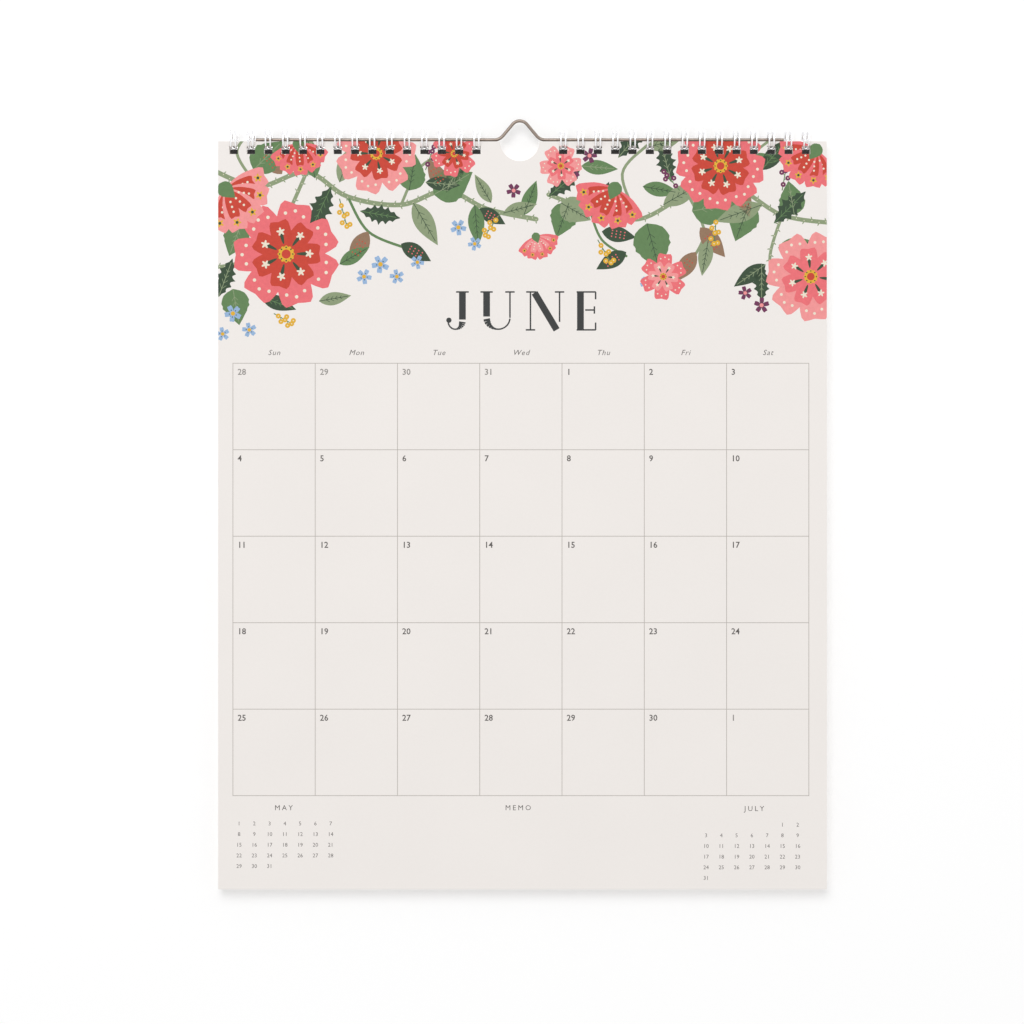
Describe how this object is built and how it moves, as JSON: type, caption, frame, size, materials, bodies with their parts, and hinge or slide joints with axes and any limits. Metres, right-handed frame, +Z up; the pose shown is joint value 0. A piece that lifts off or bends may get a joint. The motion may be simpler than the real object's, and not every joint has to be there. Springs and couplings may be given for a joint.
{
  "type": "wall calendar",
  "caption": "Hanging wall calendar: punched month sheets, card back and cover on twin-loop wire, hung by a bent wire hanger.",
  "frame": {"origin": "underside of the hanger's hump, where the nail carries it", "axes": "+X across the page to the viewer's right, +Y into the wall, +Z up; the printed face looks along -Y"},
  "size_m": [0.297, 0.0099, 0.376],
  "materials": {
    "hanger_steel": "plain drawn steel wire",
    "silver_wire": "bright silver-coated wire",
    "printed_paper": "uncoated off-white paper, printed",
    "paper": "uncoated off-white paper",
    "card": "plain grey-white board",
    "cover_card": "uncoated off-white card"
  },
  "bodies": {
    "hanger": {"wire_hanger": "hanger_steel"},
    "binding": {"binding_wire_left": "silver_wire", "binding_wire_right": "silver_wire", "remaining_sheets": "paper", "backing_card": "card"},
    "current_leaf": {"current_sheet": "printed_paper"},
    "turned_leaves": {"front_cover": "cover_card", "turned_sheets": "paper"}
  },
  "joints": [
    {"name": "hanger_swing", "type": "hinge", "parent": "hanger", "child": "binding", "pos_m": [0, 0, -0.0085], "axis": [1, 0, 0], "range_deg": [-90, 90]},
    {"name": "page_turn", "type": "hinge", "parent": "binding", "child": "current_leaf", "pos_m": [0, 0, -0.0085], "axis": [1, 0, 0], "range_deg": [-230, 0]},
    {"name": "back_leaves_turn", "type": "hinge", "parent": "binding", "child": "turned_leaves", "pos_m": [0, 0, -0.0085], "axis": [1, 0, 0], "range_deg": [0, 230]}
  ]
}
